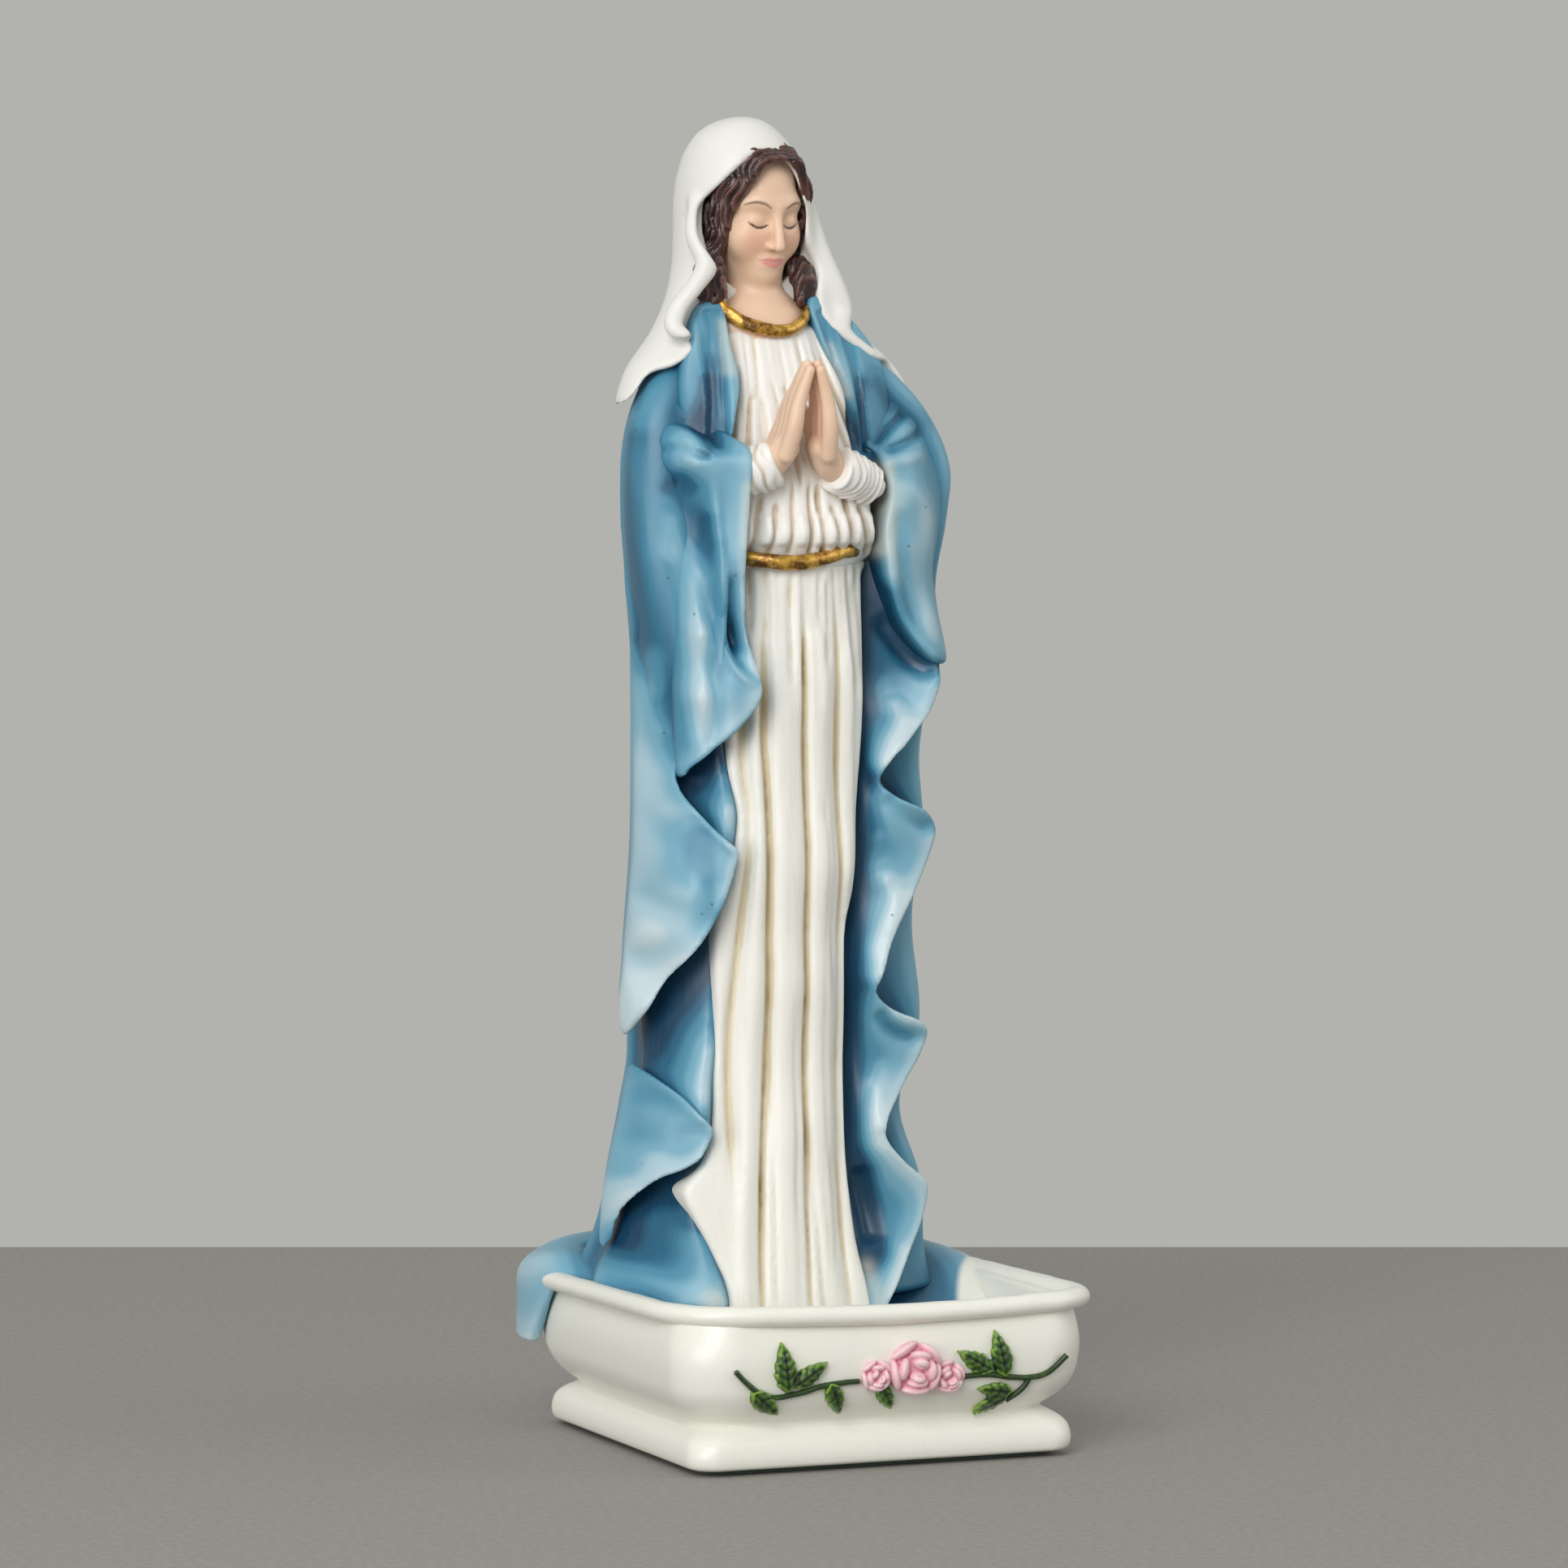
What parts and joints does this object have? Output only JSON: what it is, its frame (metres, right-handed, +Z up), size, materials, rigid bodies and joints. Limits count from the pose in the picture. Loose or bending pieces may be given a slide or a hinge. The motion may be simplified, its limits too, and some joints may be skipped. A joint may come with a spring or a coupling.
{
  "type": "madonna statue",
  "caption": "Standing praying lady in a long gown, veil and mantle, rising from the back of a small square holy-water basin with a rose spray on its front wall.",
  "frame": {"origin": "centre of the foot's resting face", "axes": "+Z up along the figure, the figure faces -Y, her left hand is towards +X"},
  "size_m": [0.0798, 0.0846, 0.23],
  "materials": {
    "felt": "pressed felt",
    "basin_resin": "pearl cream, soft satin lacquer",
    "gown_paint": "ivory with ochre wash in the folds",
    "bodice_paint": "off-white, fine pleats",
    "gold_paint": "antique gold paint",
    "skin_paint": "matt skin tone",
    "hair_paint": "dark brown, satin",
    "veil_paint": "warm white",
    "mantle_paint": "airbrushed blue, paler on the ridges, satin",
    "cuff_paint": "off-white, ribbed",
    "rose_paint": "pink with pale rims",
    "leaf_paint": "green with dark wash"
  },
  "bodies": {
    "root": {"felt_pad": "felt", "basin_foot": "basin_resin", "basin_bowl": "basin_resin", "rim_bead": "basin_resin", "gown_skirt": "gown_paint", "gown_bodice": "bodice_paint", "belt": "gold_paint", "collar_band": "gold_paint", "head": "skin_paint", "hair": "hair_paint", "veil": "veil_paint", "mantle": "mantle_paint", "right_sleeve": "mantle_paint", "left_sleeve": "mantle_paint", "right_fall": "mantle_paint", "left_fall": "mantle_paint", "mantle_train": "mantle_paint", "right_cuff": "cuff_paint", "left_cuff": "cuff_paint", "right_hand": "skin_paint", "left_hand": "skin_paint", "rose_centre": "rose_paint", "rosebud_left": "rose_paint", "rosebud_right": "rose_paint", "rose_leaves": "leaf_paint", "rose_stems": "leaf_paint"}
  },
  "joints": []
}
